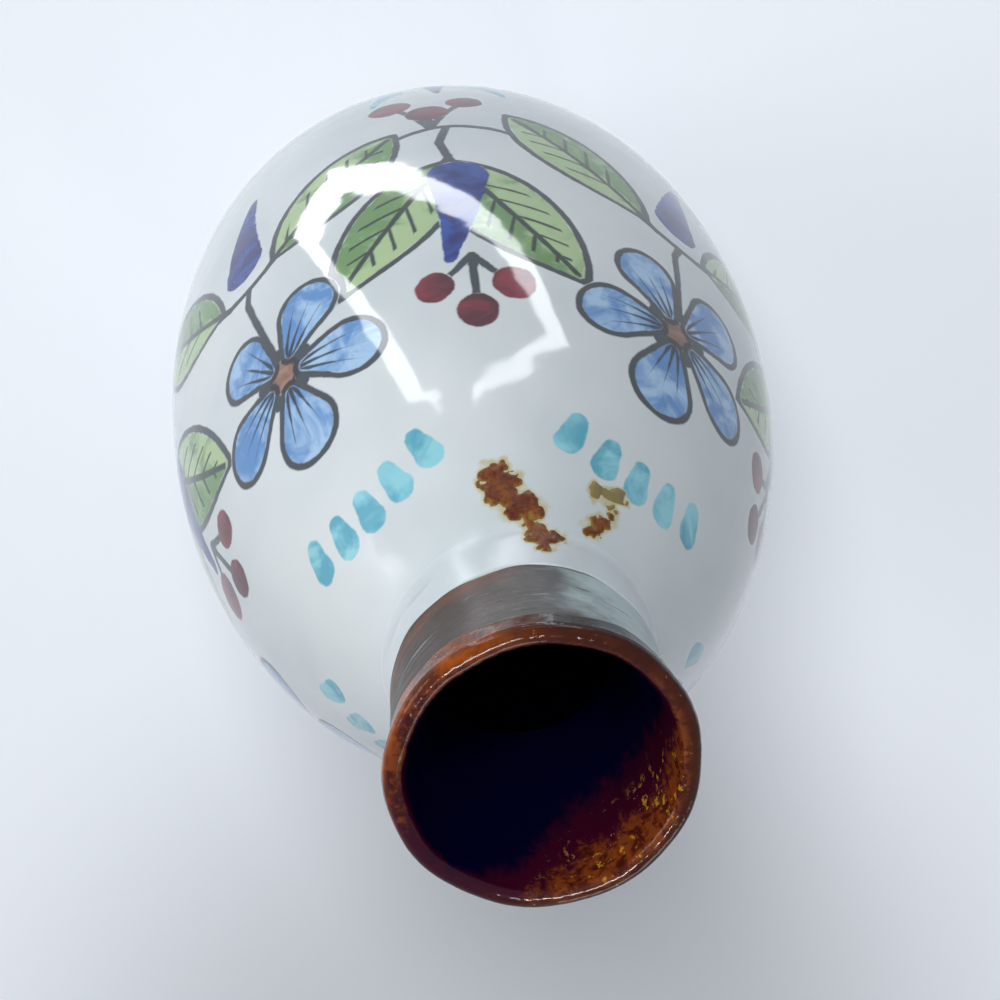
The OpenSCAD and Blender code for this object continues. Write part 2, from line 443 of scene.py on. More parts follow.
def paintBody(turn, z, radius):
    # mm outside each painted shape, for every point of the body
    rng = np.random.default_rng(plan["seed"])
    along = lengthAt(z) / mm
    across = radius / mm
    laid = {name: np.full(z.shape, farOff) for name in (*glazeLook["pigments"], "ink", *guides)}

    def heightAt(level):
        return float(lengthAt(level * mm)) / mm

    def patch(degrees, rise, lean=0.0):
        turned = (turn - math.radians(degrees) + math.pi) % (2 * math.pi) - math.pi
        x, y = turned * across, along - rise
        cos, sin = math.cos(math.radians(lean)), math.sin(math.radians(lean))
        return cos * x - sin * y, sin * x + cos * y

    def lay(name, distance):
        laid[name] = np.minimum(laid[name], distance)

    def egg(x, y, low, high, reach):
        x = np.abs(x)
        lean = (low - high) / reach
        rise = math.sqrt(1 - lean * lean)
        up = rise * y - lean * x
        foot, head = np.hypot(x, y) - low, np.hypot(x, y - reach) - high
        flank = rise * x + lean * y - low
        return np.where(up < 0, foot, np.where(up > rise * reach, head, flank))

    def lance(x, y, long, wide):
        tall, half = long / 2, wide / 2
        arc = (tall * tall + half * half) / (2 * half)
        return np.hypot(np.abs(x) + arc - half, y - tall) - arc

    def stroke(x, y, points, start, end):
        best = np.full(x.shape, farOff)
        legs = len(points) - 1
        for i in range(legs):
            (ax, ay), (bx, by) = points[i], points[i + 1]
            dx, dy = bx - ax, by - ay
            t = np.clip(((x - ax) * dx + (y - ay) * dy) / (dx ** 2 + dy ** 2), 0, 1)
            width = start + (end - start) * (i + t) / legs
            best = np.minimum(best, np.hypot(x - ax - t * dx, y - ay - t * dy) - width)
        return best

    def guide(name, shape, x, y):
        # where on its leaf or petal a point lies, for the lines drawn on it
        near = shape < np.minimum(laid[name], 1.5)
        laid[name + "Across"] = np.where(near, x, laid[name + "Across"])
        laid[name + "Up"] = np.where(near, y, laid[name + "Up"])
        lay(name, shape)

    def leaf(degrees, rise, lean, longer, wider, curl):
        long, wide = plan["leafLong"] * longer, plan["leafWide"] * wider
        x, y = patch(degrees, rise, lean)
        x = x - curl * (y * (long - y)) / long
        guide("leaf", lance(x, y - plan["leafGap"], long, wide), x, y)
        lay("ink", stroke(x, y, plan["leafStalk"], *plan["leafPen"]))

    def bud(name, degrees, rise, lean, long, fat, curl):
        x, y = patch(degrees, rise, lean)
        x = x - curl * y * y / long
        lay(name, egg(x, y, fat, fat * plan["budTip"], long))

    def berries(degrees, rise, spots):
        x, y = patch(degrees, rise)
        for dx, dy in spots:
            size = plan["berry"] * rng.uniform(*plan["berrySizes"])
            lay("maroon", np.hypot((x - dx) * 1.04, (y - dy) * 0.94) - size)
            stalk = ((0, 0), (dx * 0.45, dy * 0.55), (dx, dy))
            lay("ink", stroke(x, y, stalk, *plan["berryPen"]))

    def blossom(degrees, rise, spin):
        foot = plan["petalFoot"]
        for i in range(plan["petals"]):
            x, y = patch(degrees, rise, spin + 360 * i / plan["petals"])
            grow = rng.uniform(*plan["petalSizes"])
            reach, end = plan["petalReach"] * grow, plan["petalRound"] * grow
            guide("petal", egg(x, y - foot, plan["petalFootRound"], end, reach - foot), x, y)
        out = np.hypot(*patch(degrees, rise))
        lay("umber", out - plan["eye"])
        # the notches between the petals are inked near the eye
        ring = np.maximum(out - plan["notch"], plan["eye"] - out)
        lay("ink", np.maximum(-laid["petal"], ring))

    step = 360 / plan["repeats"]
    middle, swing = heightAt(plan["stemZ"]), plan["stemSwing"]
    phase = plan["repeats"] * (turn - math.radians(plan["turn"]))
    path = middle + swing * np.cos(phase)
    slope = -swing * plan["repeats"] * np.sin(phase) / across
    laid["stem"] = (along - path) / np.sqrt(1 + slope * slope)

    def stemAt(degrees):
        angle = plan["repeats"] * math.radians(degrees - plan["turn"])
        return middle + swing * math.cos(angle)

    for k in range(plan["repeats"]):
        crest = plan["turn"] + step * k
        trough = crest + step / 2
        tilt = rng.uniform(-plan["tilt"], plan["tilt"])
        # blossom on its stalk over each crest
        rise, shift = plan["blossomRise"], plan["blossomShift"]
        x, y = patch(crest, stemAt(crest))
        stalk = ((0, 0), plan["stalkBend"], (0, rise - plan["stalkShort"]))
        lay("ink", stroke(x, y, stalk, *plan["blossomPen"]))
        blossom(crest, stemAt(crest) + rise + rng.uniform(-shift, shift), tilt)
        # two leaves and a bud hang under each crest
        for off, lean, *shape in plan["hangingLeaves"]:
            leaf(crest + off, stemAt(crest + off), lean + tilt, *shape)
        bud("cobalt", crest, stemAt(crest) - plan["hangingGap"], 180 + tilt, *plan["hangingBud"])
        # sprig over each trough: two leaves, a bud between them and berries over it
        foot = stemAt(trough) + plan["sprigRise"]
        x, y = patch(trough, stemAt(trough))
        stalk = ((0, 0), plan["sprigBend"], (0, plan["sprigRise"]))
        lay("ink", stroke(x, y, stalk, *plan["sprigPen"]))
        for off, lean, *shape in plan["risingLeaves"]:
            leaf(trough + off, foot - plan["risingDrop"], lean + tilt, *shape)
        bud("cobalt", trough, foot + plan["risingGap"], tilt * 0.6, *plan["risingBud"])
        berries(trough, foot + plan["berryRise"], plan["upperBerries"])
        under = trough + plan["lowerTurn"]
        berries(under, stemAt(under), plan["lowerBerries"])
        # turquoise drops in an arc on the shoulder
        for i in range(plan["drops"]):
            off = i - (plan["drops"] - 1) / 2
            level = heightAt(plan["dropZ"]) - plan["dropSag"] * off ** 2
            x, y = patch(crest + plan["dropStep"] * off, level, plan["dropLean"] * off)
            lay("turquoise", egg(x, y, *plan["dropShape"]))
        # low sprig between the hanging leaves
        for name, off, level, lean, *shape in plan["lowSprig"]:
            bud(name, trough + off, heightAt(level), lean, *shape)
    # border over the foot
    lay("cobalt", np.abs(along - heightAt(plan["borderZ"])) - plan["borderHalf"])
    arcs = np.abs(np.sin(turn * plan["scallops"] / 2))
    scallop = heightAt(plan["scallopZ"]) + plan["scallopRise"] * arcs
    lay("turquoise", np.abs(along - scallop) - plan["scallopHalf"])
    # leaves keep clear of the petals
    laid["leaf"] = np.maximum(laid["leaf"], plan["leafClear"] - laid["petal"])
    return laid


def inkLines(tree):
    # mm outside the ink: outlines, veins, streaks, the stem and the free lines
    look = glazeLook
    leaf, petal = field(tree, "leaf"), field(tree, "petal")

    def size(value):
        return maths("ABSOLUTE", value)

    def within(lines, shape, inset):
        return maths("MAXIMUM", lines, plus(shape, inset))

    def clearOf(lines, shape):
        return maths("MAXIMUM", lines, times(shape, -1.0))

    across, up = size(field(tree, "leafAcross")), field(tree, "leafUp")
    rib = within(less(across, look["ribLine"]), leaf, look["ribInset"])
    climb = less(up, times(across, look["veinSlope"]))
    vein = times(maths("PINGPONG", climb, look["veinStep"] / 2), look["veinThin"])
    vein = within(less(vein, look["veinLine"]), leaf, look["veinInset"])
    across, up = size(field(tree, "petalAcross")), field(tree, "petalUp")
    fan = size(less(across, times(up, look["streakFan"])))
    taper = less(look["streakLine"], times(up, look["streakTaper"]))
    streak = less(maths("MINIMUM", across, fan), taper)
    streak = within(streak, petal, look["streakInset"])
    leafEdge = less(size(leaf), look["leafLine"])
    petalEdge = less(size(petal), look["petalLine"])
    stem = less(size(field(tree, "stem")), look["stemLine"])
    lines = clearOf(stem, leaf)
    for drawn in (rib, vein, streak, leafEdge, petalEdge, field(tree, "ink")):
        lines = maths("MINIMUM", lines, drawn)
    return clearOf(clearOf(lines, field(tree, "cobalt")), field(tree, "maroon"))


def whiteGlaze(tree, look):
    cloud = grain(tree, look["cloud"], 2)
    fine = grain(tree, look["fine"])
    wash = grain(tree, look["wash"], 3, 0.6, 0.6)
    ragged = sway(fine, look["ragged"])
    colour = blendTones(span(cloud, 0.35, 0.7), look["white"], look["cool"])
    # one half of each leaf is the darker
    half = span(field(tree, "leafAcross"), -1.2, 1.2, -0.14, 0.14)
    for name, (pale, deep, cover, inset) in look["pigments"].items():
        edge = plus(field(tree, name), ragged)
        covered = span(edge, look["soft"] - inset, -look["soft"] - inset, 0.0, cover)
        pool = plus(wash, half) if name == "leaf" else wash
        pigment = blendTones(span(pool, 0.36, 0.62), pale, deep)
        colour = blendTones(covered, colour, pigment)
    lines = plus(inkLines(tree), times(ragged, 0.5))
    inked = span(lines, look["inkSoft"], -look["inkSoft"], 0.0, look["inkCover"])
    colour = blendTones(inked, colour, look["ink"])
    # iron stain that bled out round the runs
    halo = plus(field(tree, "run"), times(ragged, 1.6))
    stained = span(halo, look["haloReach"], 0.0, 0.0, look["haloCover"])
    colour = blendTones(stained, colour, look["stain"])
    # duller at the neck
    dull = span(axis(tree, "Z"), rootZ - 1 * mm, rootZ + 5 * mm, *look["roughness"])
    return colour, dull, grain(tree, look["peel"], 2, 0.4)


runs = {
    "crust": 0.28 * mm,  # how thick the iron lies
    "rough": 0.09 * mm,  # unevenness of its top
    "sunk": 0.3 * mm,  # how far it reaches into the glaze
    "cell": 0.12 * mm,  # step of its grid
    "margin": 0.9 * mm,  # grid past the blots
    # in mm
    "ragged": 0.62,  # unevenness of the outline
    "lump": 0.9,  # sizes of that unevenness
    "crumb": 0.38,
    "pit": 0.5,
    "bank": 0.7,  # width of the slope at the edge
    "skirt": 0.5,  # grid kept outside the outline
    "spread": 14,  # skin for each radian of turn
    # turn in degrees, height in mm, round in mm
    "large": (
        (-3.6, 99.6, 1.3), (-5.6, 100.6, 1.8), (-9, 100.3, 1.0), (-7.5, 101.7, 1.1), (-12.6, 102.7, 1.6),
        (-16.6, 103.3, 1.1), (-15, 104.4, 0.9), (-19, 105.6, 1.6), (-24, 105.1, 1.0), (-20, 107.3, 0.9),
    ),
    "small": (
        (-39.2, 99.9, 0.55), (-42.6, 99.6, 0.7), (-46, 99.3, 0.75), (-45.4, 100.6, 0.6),
        (-45.8, 101.4, 0.55), (-45.4, 102.3, 0.75), (-42.6, 103, 0.75), (-39, 103.5, 0.55),
    ),
}


def runDistance(turn, z):
    # mm outside the outline of the two iron runs
    along = lengthAt(z) / mm
    best = np.full(np.broadcast(turn, z).shape, farOff)
    for degrees, height, size in runs["large"] + runs["small"]:
        x = (turn - math.radians(degrees)) * float(outside(height * mm, coat)) / mm
        y = along - float(lengthAt(height * mm)) / mm
        best = np.minimum(best, np.hypot(x, y) - size)
    x = turn * runs["spread"] + 20
    lump, crumb = runs["lump"], runs["crumb"]
    uneven = mottle(x / lump, along / lump, 8) + 0.55 * mottle(x / crumb, along / crumb, 9)
    return best + runs["ragged"] * uneven


def makeBodyGlaze():
    look = glazeLook
    turn = ringTurns(look["columns"])
    # rounded lower edge, then the outside up to the band and the back down again
    edge = coat / 2
    swing = np.linspace(-1.3, 1.3, look["edgeRows"])
    edgeZ = bareTop + edge - edge * np.cos(swing)
    edgeShare = 0.5 + 0.5 * np.sin(swing)
    start = bareTop + edge * 1.9
    front = evenHeights(start, bandBase, look["rows"])
    back = evenHeights(bandBase, start, look["backRows"])
    z = np.concatenate([edgeZ, front, back])[:, None]
    share = np.concatenate([edgeShare, np.ones(len(front)), np.full(len(back), -0.1)])[:, None]
    waves = np.sin(3 * turn + 1) + 0.6 * np.sin(8 * turn) + 0.35 * np.sin(19 * turn + 2)
    fade = np.clip(1 - (z - bareTop) / look["dripFade"], 0, 1) ** 2
    zs = z + look["dripWave"] * waves * fade
    clay = outside(zs)
    r = clay + (outside(zs, coat) - clay) * share + handWobble(turn, zs) * np.clip(share, 0, 1)
    laid = paintBody(np.broadcast_to(turn, zs.shape), zs, r)
    laid["run"] = runDistance((turn + math.pi) % (2 * math.pi) - math.pi, zs)
    piece = addGrid("painted_glaze", around(r, zs, turn), laid)
    dress(piece, look, whiteGlaze, "white_glaze", "body_glaze")
    print("body glaze painted:", len(piece.data.polygons), "faces")


# iron wash round the neck
bandLook = {
    "columns": 320, "rows": 64,
    "backStep": 8,  # rows in front for each one behind
    "proud": 0.05 * mm,
    "wave": 0.22 * mm,  # unevenness of the lower edge
    "waveReach": 3 * mm,
    "lapLow": 0.15 * mm,  # below its line on the body glaze
    "lapHigh": 0.4 * mm,  # up under the lip glaze
    "coarseBrush": 0.9 * mm,  # height for a radian of the brush ridges
    "fineBrush": 0.42 * mm,
    "roundEnds": 0.3 * mm,
    "sinkEnds": 0.08 * mm,
    "sinkBack": 0.04 * mm,
    "brown": "463A36", "grey": "575554", "pale": "B2C3C5", "rust": "6A442F", "dark": "2E2522",
    "paleX": -13 * mm,  # pale on this side, brown on the other
    "brownX": 10 * mm,
    "brushMark": 6 * mm,
    "blot": 5 * mm,
    "shine": 0.1,
    "roughness": (0.26, 0.46),
    "bump": (0.25, 0.2 * mm),
}


def ironWash(tree, look):
    z = axis(tree, "Z")
    brush = grain(tree, look["brushMark"], 5, 0.65, squash=(1, 1, 9))
    blot = grain(tree, look["blot"], 3, 0.6)
    side = span(axis(tree, "X"), look["paleX"], look["brownX"])
    side = plus(side, sway(blot, 0.6))
    colour = blendTones(span(side, 0.02, 0.34), look["pale"], look["grey"])
    colour = blendTones(span(side, 0.36, 0.8), colour, look["brown"])
    colour = blendTones(span(brush, 0.38, 0.3, 0.0, 0.6), colour, look["dark"])
    colour = blendTones(span(brush, 0.58, 0.7, 0.0, 0.5), colour, look["pale"])
    # rust where the wash pooled along its lower edge
    edge = plus(z, sway(blot, 5 * mm))
    pooled = span(edge, bandBase + 4 * mm, bandBase + 0.5 * mm)
    pooled = times(pooled, span(side, 0.4, 0.7))
    colour = blendTones(times(pooled, 0.75), colour, look["rust"])
    line = span(z, bandBase + 0.45 * mm, bandBase + 0.15 * mm, 0.0, 0.65)
    colour = blendTones(line, colour, look["dark"])
    return colour, span(brush, 0.3, 0.7, *look["roughness"]), brush


def makeIronBand():
    look = bandLook
    turn = ringTurns(look["columns"])
    front = evenHeights(bandBase - look["lapLow"], lipBase + look["lapHigh"], look["rows"])
    z = np.concatenate([front, front[::-look["backStep"]]])[:, None]
    outer = np.arange(len(z))[:, None] < len(front)
    coarse = np.sin(z / look["coarseBrush"] + 1.5 * np.sin(turn * 3 + 1))
    fine = np.sin(z / look["fineBrush"] + 2 * np.sin(turn * 2))
    lift = look["proud"] * (1 + 0.25 * (0.5 * fine + 0.5 * coarse)) + handWobble(turn, z)
    ends = np.clip(np.minimum(z - front[0], front[-1] - z) / look["roundEnds"], 0, 1) ** 0.5
    near = np.clip((bandBase + look["waveReach"] - z) / look["waveReach"], 0, 1)
    zs = z + look["wave"] * (np.sin(5 * turn + 0.4) + 0.5 * np.sin(13 * turn)) * near
    shown = outside(zs, coat) + lift * ends - look["sinkEnds"] * (1 - ends)
    r = np.where(outer, shown, outside(zs) - look["sinkBack"])
    piece = addGrid("neck_band", around(r, zs, turn))
    dress(piece, look, ironWash, "iron_wash", "iron_band")
    print("neck band brushed")


# dark glaze inside the mouth, which the lip and the lining share; it goes from rust through maroon to
# near-black deeper down, partly painted shade, with painted light where the rust reaches furthest
throatLook = {
    "rust": "7A3A16", "burnt": "45160F", "maroon": "3A0720", "deep": "030425", "ochre": "C08A2A",
    "rustReach": 4 * mm,  # below the top, on the side of the painted light
    "maroonReach": 9 * mm,
    "litTowards": (-0.56, 0.83),  # X and Y of the side of the painted light
    "litFrom": 1 * mm,  # more and more between these
    "litTo": 12 * mm,
    "shortBy": 2.5 * mm,  # it ends this much higher away from the painted light
    "paintedShadeBy": 4.5 * mm,  # and this much higher in the painted shade between +X and +Y
    "streak": 7 * mm,  # sizes of the mottling
    "blot": 2.4 * mm,
    "patch": 1.3 * mm,
    "fine": 0.8 * mm,
    "streakSway": 6 * mm,  # how far they move the colours
    "blotSway": 8 * mm,
    "fineSway": 5 * mm,
}


def paintedShadeSide(tree):
    # painted shade between +X and +Y
    return times(span(axis(tree, "X"), -2 * mm, 6 * mm), span(axis(tree, "Y"), -1 * mm, 7 * mm))


def throatBlot(tree):
    return grain(tree, throatLook["blot"], 4, 0.65, 0.8)


def throatTones(tree):
    look = throatLook
    x, y, z = axis(tree, "X"), axis(tree, "Y"), axis(tree, "Z")
    blot = throatBlot(tree)
    fine = grain(tree, look["fine"], 4, 0.7)
    streak = grain(tree, look["streak"], 3, 0.6, 0.4, (5, 5, 1))
    patch = span(grain(tree, look["patch"], 4, 0.7, 0.5), 0.42, 0.6)
    # painted light: the rust reaches further down on the side where light falls in
    towardsX, towardsY = look["litTowards"]
    towards = plus(times(y, towardsY), times(x, towardsX))
    litSide = span(towards, look["litFrom"], look["litTo"])
    reach = plus(times(litSide, 0.8), 0.2)
    depth = maths("DIVIDE", less(topZ, z), reach)
    depth = plus(depth, span(litSide, 0.0, 0.7, look["shortBy"], 0.0))
    # painted shade between +X and +Y darkens the throat sooner
    depth = plus(depth, times(paintedShadeSide(tree), look["paintedShadeBy"]))
    depth = plus(depth, sway(streak, look["streakSway"]))
    depth = plus(depth, sway(blot, look["blotSway"]))
    depth = plus(depth, sway(fine, look["fineSway"]))
    rustEnd, maroonEnd = look["rustReach"], look["maroonReach"]
    rust = blendTones(patch, look["rust"], look["burnt"])
    # rust through maroon to near-black deeper down: glaze tones, and partly painted shade
    toMaroon = span(depth, rustEnd * 0.6, rustEnd * 1.3)
    colour = blendTones(toMaroon, rust, look["maroon"])
    toDeep = span(depth, maroonEnd * 0.8, maroonEnd * 1.5)
    colour = blendTones(toDeep, colour, look["deep"])
    # ochre flecks only on the side of the painted light
    fleck = span(times(blot, fine), 0.3, 0.36)
    fleck = times(fleck, span(depth, maroonEnd * 1.2, maroonEnd * 0.7))
    fleck = times(fleck, span(litSide, 0.45, 0.8, 0.0, 0.85))
    fleck = times(fleck, span(x, 4 * mm, -4 * mm, 0.1, 1.0))
    return blendTones(fleck, colour, look["ochre"])


# rolled lip
lipLook = {
    "columns": 360,
    # up the outside, over the roll and down inside
    "riseRows": 20, "rollRows": 40, "fallRows": 25,
    "backStep": 4,
    "lap": 0.3 * mm,  # down over the band
    "proud": 0.09 * mm,  # over the band
    "proudRise": 0.4 * mm,
    "uneven": 0.06 * mm,  # nine waves round the lip
    "evenBelow": 3 * mm,  # height over which waves and wobble die out
    "lean": 0.12 * mm,  # two waves of its top, and seven smaller ones
    "ripple": 0.05 * mm,
    "wave": 0.3 * mm,  # unevenness of the lower edge
    "waveReach": 2 * mm,
    # dark and edge are the tones of painted shade
    "orange": "A4510F", "brown": "5A260B", "dark": "3C150B", "edge": "2A1713", "chip": "C98A4A",
    "paintedShadeX": -14 * mm,  # painted shade on this side, none on the other
    "unshadedX": 12 * mm,
    "blot": 3.2 * mm,  # sizes of the mottling
    "fine": 0.7 * mm,
    "pit": 0.9 * mm,
    "shine": 0.12,
    "roughness": (0.07, 0.22),
    "bump": (0.4, 0.25 * mm),
}


def ironGlaze(tree, look):
    x = axis(tree, "X")
    crest = field(tree, "crest")
    blot = grain(tree, look["blot"], 4, 0.62, 0.4)
    fine = grain(tree, look["fine"], 3, 0.6)
    pits = grain(tree, look["pit"], 1, 0.5)
    colour = blendTones(span(blot, 0.34, 0.66), look["brown"], look["orange"])
    # painted shade towards -X
    side = span(x, look["paintedShadeX"], look["unshadedX"], 1.0, 0.0)
    side = plus(side, sway(blot, 1.2))
    colour = blendTones(span(side, 0.2, 0.7, 0.0, 0.9), colour, look["dark"])
    colour = blendTones(span(fine, 0.66, 0.74, 0.0, 0.6), colour, look["chip"])
    # painted shade between +X and +Y, and on the outer flank towards -X
    colour = blendTones(times(paintedShadeSide(tree), 0.8), colour, look["edge"])
    flank = times(span(crest, 0.36, 0.24), span(side, 0.25, 0.6))
    colour = blendTones(flank, colour, look["edge"])
    # the throat's colours begin sooner towards +X
    inner = plus(crest, sway(blot, 0.12))
    inner = plus(inner, span(x, -2 * mm, 12 * mm, 0.0, 0.09))
    colour = blendTones(span(inner, 0.37, 0.46), colour, throatTones(tree))
    return colour, span(fine, 0.3, 0.75, *look["roughness"]), plus(blot, times(pits, 0.5))


def makeLip():
    look = lipLook
    turn = ringTurns(look["columns"])
    foot = lipBase - look["lap"]
    rise = np.linspace(foot, lipZ, look["riseRows"])[:-1]
    arc = np.linspace(0, math.pi, look["rollRows"])
    fall = np.append(np.linspace(lipZ, dipBase + edgeGap, look["fallRows"])[1:], dipBase)
    bore = inside(fall, coat)
    bore += (lipMidR - lipRoll - inside(lipZ, coat)) * np.interp(fall, [dipBase, lipZ], [0, 1])
    over = np.c_[lipMidR + lipRoll * np.cos(arc), lipZ + lipRoll * np.sin(arc)]
    path = np.concatenate([np.c_[outside(rise, coat), rise], over, np.c_[bore, fall]])
    # share of the way over the lip, for its finish
    crest = np.concatenate([[0.0], np.cumsum(np.hypot(*np.diff(path, axis=0).T))])
    crest = crest / crest[-1]
    # back of the coat, just inside the clay
    sunk = lipRoll - coat - tuck
    backArc = arc[::-look["backStep"]]
    under = np.c_[lipMidR + sunk * np.cos(backArc), lipZ + sunk * np.sin(backArc)]
    start = [[float(inside(dipBase)) + tuck, dipBase]]
    end = [[float(outside(foot)) - tuck, foot]]
    loop = np.concatenate([path, start, under, end])
    row = np.arange(len(loop))[:, None]
    shown, flank = row < len(path), row < len(rise)
    z = loop[:, 1][:, None]
    even = look["evenBelow"]
    uneven = look["uneven"] * np.sin(9 * turn + 1.7) * np.clip((z - lipBase) / even, 0, 1)
    proud = look["proud"] * flank * np.clip((z - foot) / look["proudRise"], 0, 1)
    settle = np.where(row < len(rise) + len(over), 1, np.clip((z - dipBase) / even, 0, 1))
    r = loop[:, 0][:, None] + (handWobble(turn, z) * settle + uneven + proud) * shown
    lift = look["lean"] * np.sin(2 * turn + 0.4) + look["ripple"] * np.sin(7 * turn)
    lift = lift * np.clip((z - lipBase) / (lipZ - lipBase), 0, 1)
    wave = look["wave"] * (np.sin(4 * turn + 2) + 0.6 * np.sin(11 * turn))
    wave = wave * np.clip(1 - np.abs(z - lipBase) / look["waveReach"], 0, 1)
    zs = z + (lift + wave * flank) * shown
    values = np.concatenate([crest, np.ones(len(loop) - len(path))])[:, None] + 0 * turn
    piece = addGrid("lip_coat", around(r, zs, turn), {"crest": values})
    dress(piece, look, ironGlaze, "iron_glaze", "lip_glaze")
    print("lip rolled")


# lining
liningLook = {
    "columns": 240, "bowlRows": 30, "wallRows": 90,
    "ripple": 0.06 * mm,
    "rippleRise": 1.7 * mm,  # height for a radian of the ripple, and of a wider one
    "swellRise": 6 * mm,
    "evenFloor": 6 * mm,  # no ripple below this height over the floor
    "evenTop": 3 * mm,  # it dies out over this height under the lip glaze
    "pinHole": 0.4 * mm,  # radius of the middle of the floor
    "shine": 0.12,
    "roughness": 0.3,
    "bump": (0.3, 0.3 * mm),
}


def darkGlaze(tree, look):
    return throatTones(tree), look["roughness"], throatBlot(tree)


def makeLining():
    look = liningLook
    turn = ringTurns(look["columns"])
    low = floorZ + coat
    swing = np.linspace(0, math.pi / 2, look["bowlRows"])[1:-1]
    bowlZ = bellyZ - (bellyZ - low) * np.cos(swing)
    wallZ = np.append(np.linspace(bellyZ, dipBase - edgeGap, look["wallRows"]), dipBase)
    faceZ = np.concatenate([bowlZ, wallZ])
    face = np.concatenate([[[look["pinHole"], low]], np.c_[inside(faceZ, coat), faceZ]])
    bowlBackZ = np.maximum(bowlZ[::4], floorZ + 0.02 * mm)
    backZ = np.concatenate([bowlBackZ, wallZ[::6]])
    back = np.concatenate([[[look["pinHole"], floorZ]], np.c_[inside(backZ) + tuck, backZ]])
    # the face looks inwards, so the loop runs down the face and up the back
    loop = np.concatenate([face[::-1], back])
    z = loop[:, 1][:, None]
    ripple = np.sin(z / look["rippleRise"] + np.sin(2 * turn))
    ripple = ripple + 0.8 * np.sin(5 * turn + z / look["swellRise"])
    shown = (np.arange(len(loop)) < len(face))[:, None] & (z > floorZ + look["evenFloor"])
    settle = np.clip((dipBase - z) / look["evenTop"], 0, 1)
    r = loop[:, 0][:, None] + look["ripple"] * ripple * shown * settle
    piece = addGrid("inside_glaze", around(r, z, turn))
    dress(piece, look, darkGlaze, "dark_glaze", "lining_glaze")
    print("inside glazed")


# crusts of iron on the root of the neck
crustLook = {
    "rust": "582408", "tan": "7A4214", "dark": "33120A", "rim": "8A7430", "olive": "877F54",
    "thinX": (-7 * mm, -9 * mm),  # the far end of the small run is thin and olive
    "thinZ": (101.8 * mm, 100.4 * mm),
    "blot": 1.5 * mm,
    "fine": 0.45 * mm,
    "shine": 0.25,
    "roughness": (0.25, 0.6),
    "bump": (0.5, 0.2 * mm),
}


def ironCrust(tree, look):
    blot = grain(tree, look["blot"], 4, 0.65, 0.4)
    fine = grain(tree, look["fine"], 4, 0.7)
    colour = blendTones(span(blot, 0.35, 0.65), look["rust"], look["tan"])
    colour = blendTones(span(fine, 0.52, 0.7, 0.0, 0.8), colour, look["dark"])
    thinX = span(axis(tree, "X"), *look["thinX"])
    thinZ = span(axis(tree, "Z"), *look["thinZ"])
    thin = times(times(thinX, thinZ), 0.8)
    colour = blendTones(thin, colour, look["olive"])
    rim = plus(field(tree, "run"), sway(blot, 0.9))
    colour = blendTones(span(rim, -0.34, 0.05, 0.0, 0.75), colour, look["rim"])
    return colour, span(fine, 0.3, 0.7, *look["roughness"]), fine


def makeRuns():
    points, quads, values = [], [], []
    for blots in (runs["large"], runs["small"]):
        turns, levels, rounds = np.array(blots).T
        middle = float(outside(levels.mean() * mm, coat))
        reach = rounds.max() * mm + runs["margin"]
        left, right = np.radians(turns.min()) - reach / middle, np.radians(turns.max()) + reach / middle
        low, high = levels.min() * mm - reach, levels.max() * mm + reach
        turn = np.arange(left, right, runs["cell"] / middle)[None, :]
        z = np.arange(low, high, runs["cell"])[:, None]
        far = runDistance(turn, z)
        turn, z = np.broadcast_to(turn, far.shape), np.broadcast_to(z, far.shape)
        pits = mottle(turn * runs["spread"] / runs["pit"] + 40, z / (runs["pit"] * mm), 12)
        crust = np.clip(-far / runs["bank"], -0.6, 1)
        raised = np.sqrt(np.abs(crust)) * (runs["crust"] + runs["rough"] * pits * crust)
        lift = np.where(crust > 0, raised, crust * runs["sunk"])
        skin = outside(z, coat) + handWobble(turn, z)
        top, under = around(skin + lift, z, turn), around(skin - runs["sunk"], z, turn)
        keep = far < runs["skirt"]
        cell = keep[:-1, :-1] & keep[1:, :-1] & keep[:-1, 1:] & keep[1:, 1:]
        rows, columns = far.shape
        index = np.arange(rows * columns).reshape(rows, columns)
        base = sum(len(p) for p in points)
        lower = rows * columns
        a, b, c, d = index[:-1, :-1], index[:-1, 1:], index[1:, 1:], index[1:, :-1]
        upFaces = np.stack([a, b, c, d], -1)[cell]
        downFaces = np.stack([a, d, c, b], -1)[cell] + lower
        # an edge that only one face has gets a wall down to the underside
        edges = {}
        for face in upFaces:
            for i in range(4):
                p, q = int(face[i]), int(face[(i + 1) % 4])
                if (q, p) in edges:
                    del edges[(q, p)]
                else:
                    edges[(p, q)] = True
        walls = np.array([(q, p, p + lower, q + lower) for p, q in edges])
        points += [top.reshape(-1, 3), under.reshape(-1, 3)]
        quads += [upFaces + base, downFaces + base, walls + base]
        values += [far.ravel(), far.ravel()]
    points, quads, values = (np.concatenate(part) for part in (points, quads, values))
    used = np.unique(quads)
    renumber = np.full(len(points), -1)
    renumber[used] = np.arange(len(used))
    piece = addPiece("iron_crusts", points[used], renumber[quads], {"run": values[used]})
    dress(piece, crustLook, ironCrust, "iron_crust", "iron_runs")
    print("iron runs crusted:", len(piece.data.polygons), "faces")


# bare clay and the slip in its joints
clayLook = {
    "pale": "CDB799", "warm": "A98761", "speck": "5B4331",
    "cloud": 9 * mm,
    "grit": 0.5 * mm,
    "turning": 7 * mm,
    "roughness": (0.7, 0.95),
    "bump": (0.5, 0.25 * mm),
}
slipLook = {
    "cream": "DCCFB4", "clay": "CDB799",
    "cloud": 2 * mm,
    "roughness": 0.85,
    "bump": (0.4, 0.2 * mm),
}


